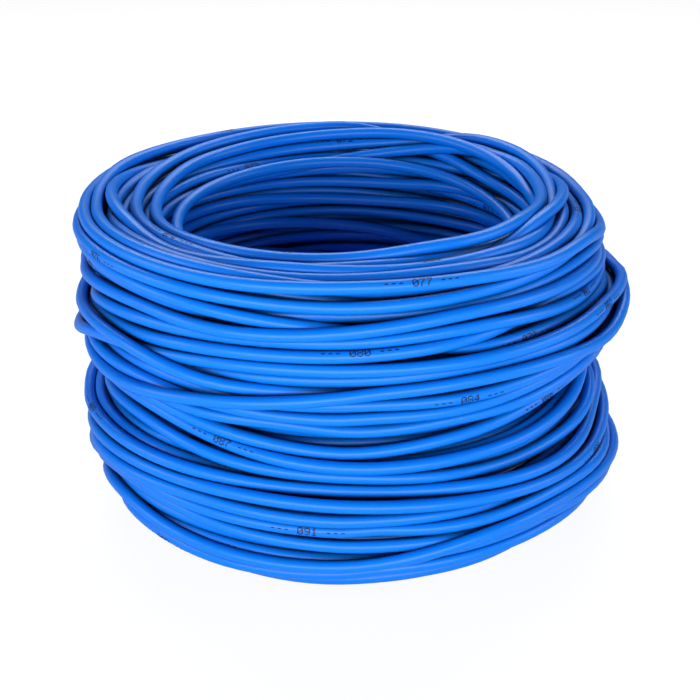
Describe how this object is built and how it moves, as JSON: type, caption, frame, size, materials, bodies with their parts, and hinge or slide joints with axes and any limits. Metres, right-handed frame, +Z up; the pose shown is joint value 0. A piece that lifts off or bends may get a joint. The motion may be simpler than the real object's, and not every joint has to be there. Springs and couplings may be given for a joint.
{
  "type": "coil of network cable",
  "caption": "Bare round coil of glossy blue twisted-pair network cable, wound in many layers about an open bore and standing on its end.",
  "frame": {"origin": "on the floor, on the axis of the bore, under the middle of the coil", "axes": "+Z up along the bore; the coil stands on its end; +Y towards the back, where the outer cut end lies low on the wall"},
  "size_m": [0.2431, 0.2427, 0.1417],
  "materials": {
    "sheath": "glossy blue PVC",
    "blue_insulation": "satin polyethylene",
    "white_blue_insulation": "satin polyethylene, white with a blue stripe",
    "orange_insulation": "satin polyethylene",
    "white_orange_insulation": "satin polyethylene, white with an orange stripe",
    "green_insulation": "satin polyethylene",
    "white_green_insulation": "satin polyethylene, white with a green stripe",
    "brown_insulation": "satin polyethylene",
    "white_brown_insulation": "satin polyethylene, white with a brown stripe",
    "copper": "bare drawn copper",
    "rip_cord": "polyester thread"
  },
  "bodies": {
    "root": {"inner_turns": "sheath", "outer_turns": "sheath", "sheath_ends": "sheath", "blue_wire": "blue_insulation", "white_blue_wire": "white_blue_insulation", "orange_wire": "orange_insulation", "white_orange_wire": "white_orange_insulation", "green_wire": "green_insulation", "white_green_wire": "white_green_insulation", "brown_wire": "brown_insulation", "white_brown_wire": "white_brown_insulation", "blue_conductor": "copper", "white_blue_conductor": "copper", "orange_conductor": "copper", "white_orange_conductor": "copper", "green_conductor": "copper", "white_green_conductor": "copper", "brown_conductor": "copper", "white_brown_conductor": "copper", "rip_cord": "rip_cord"}
  },
  "joints": []
}
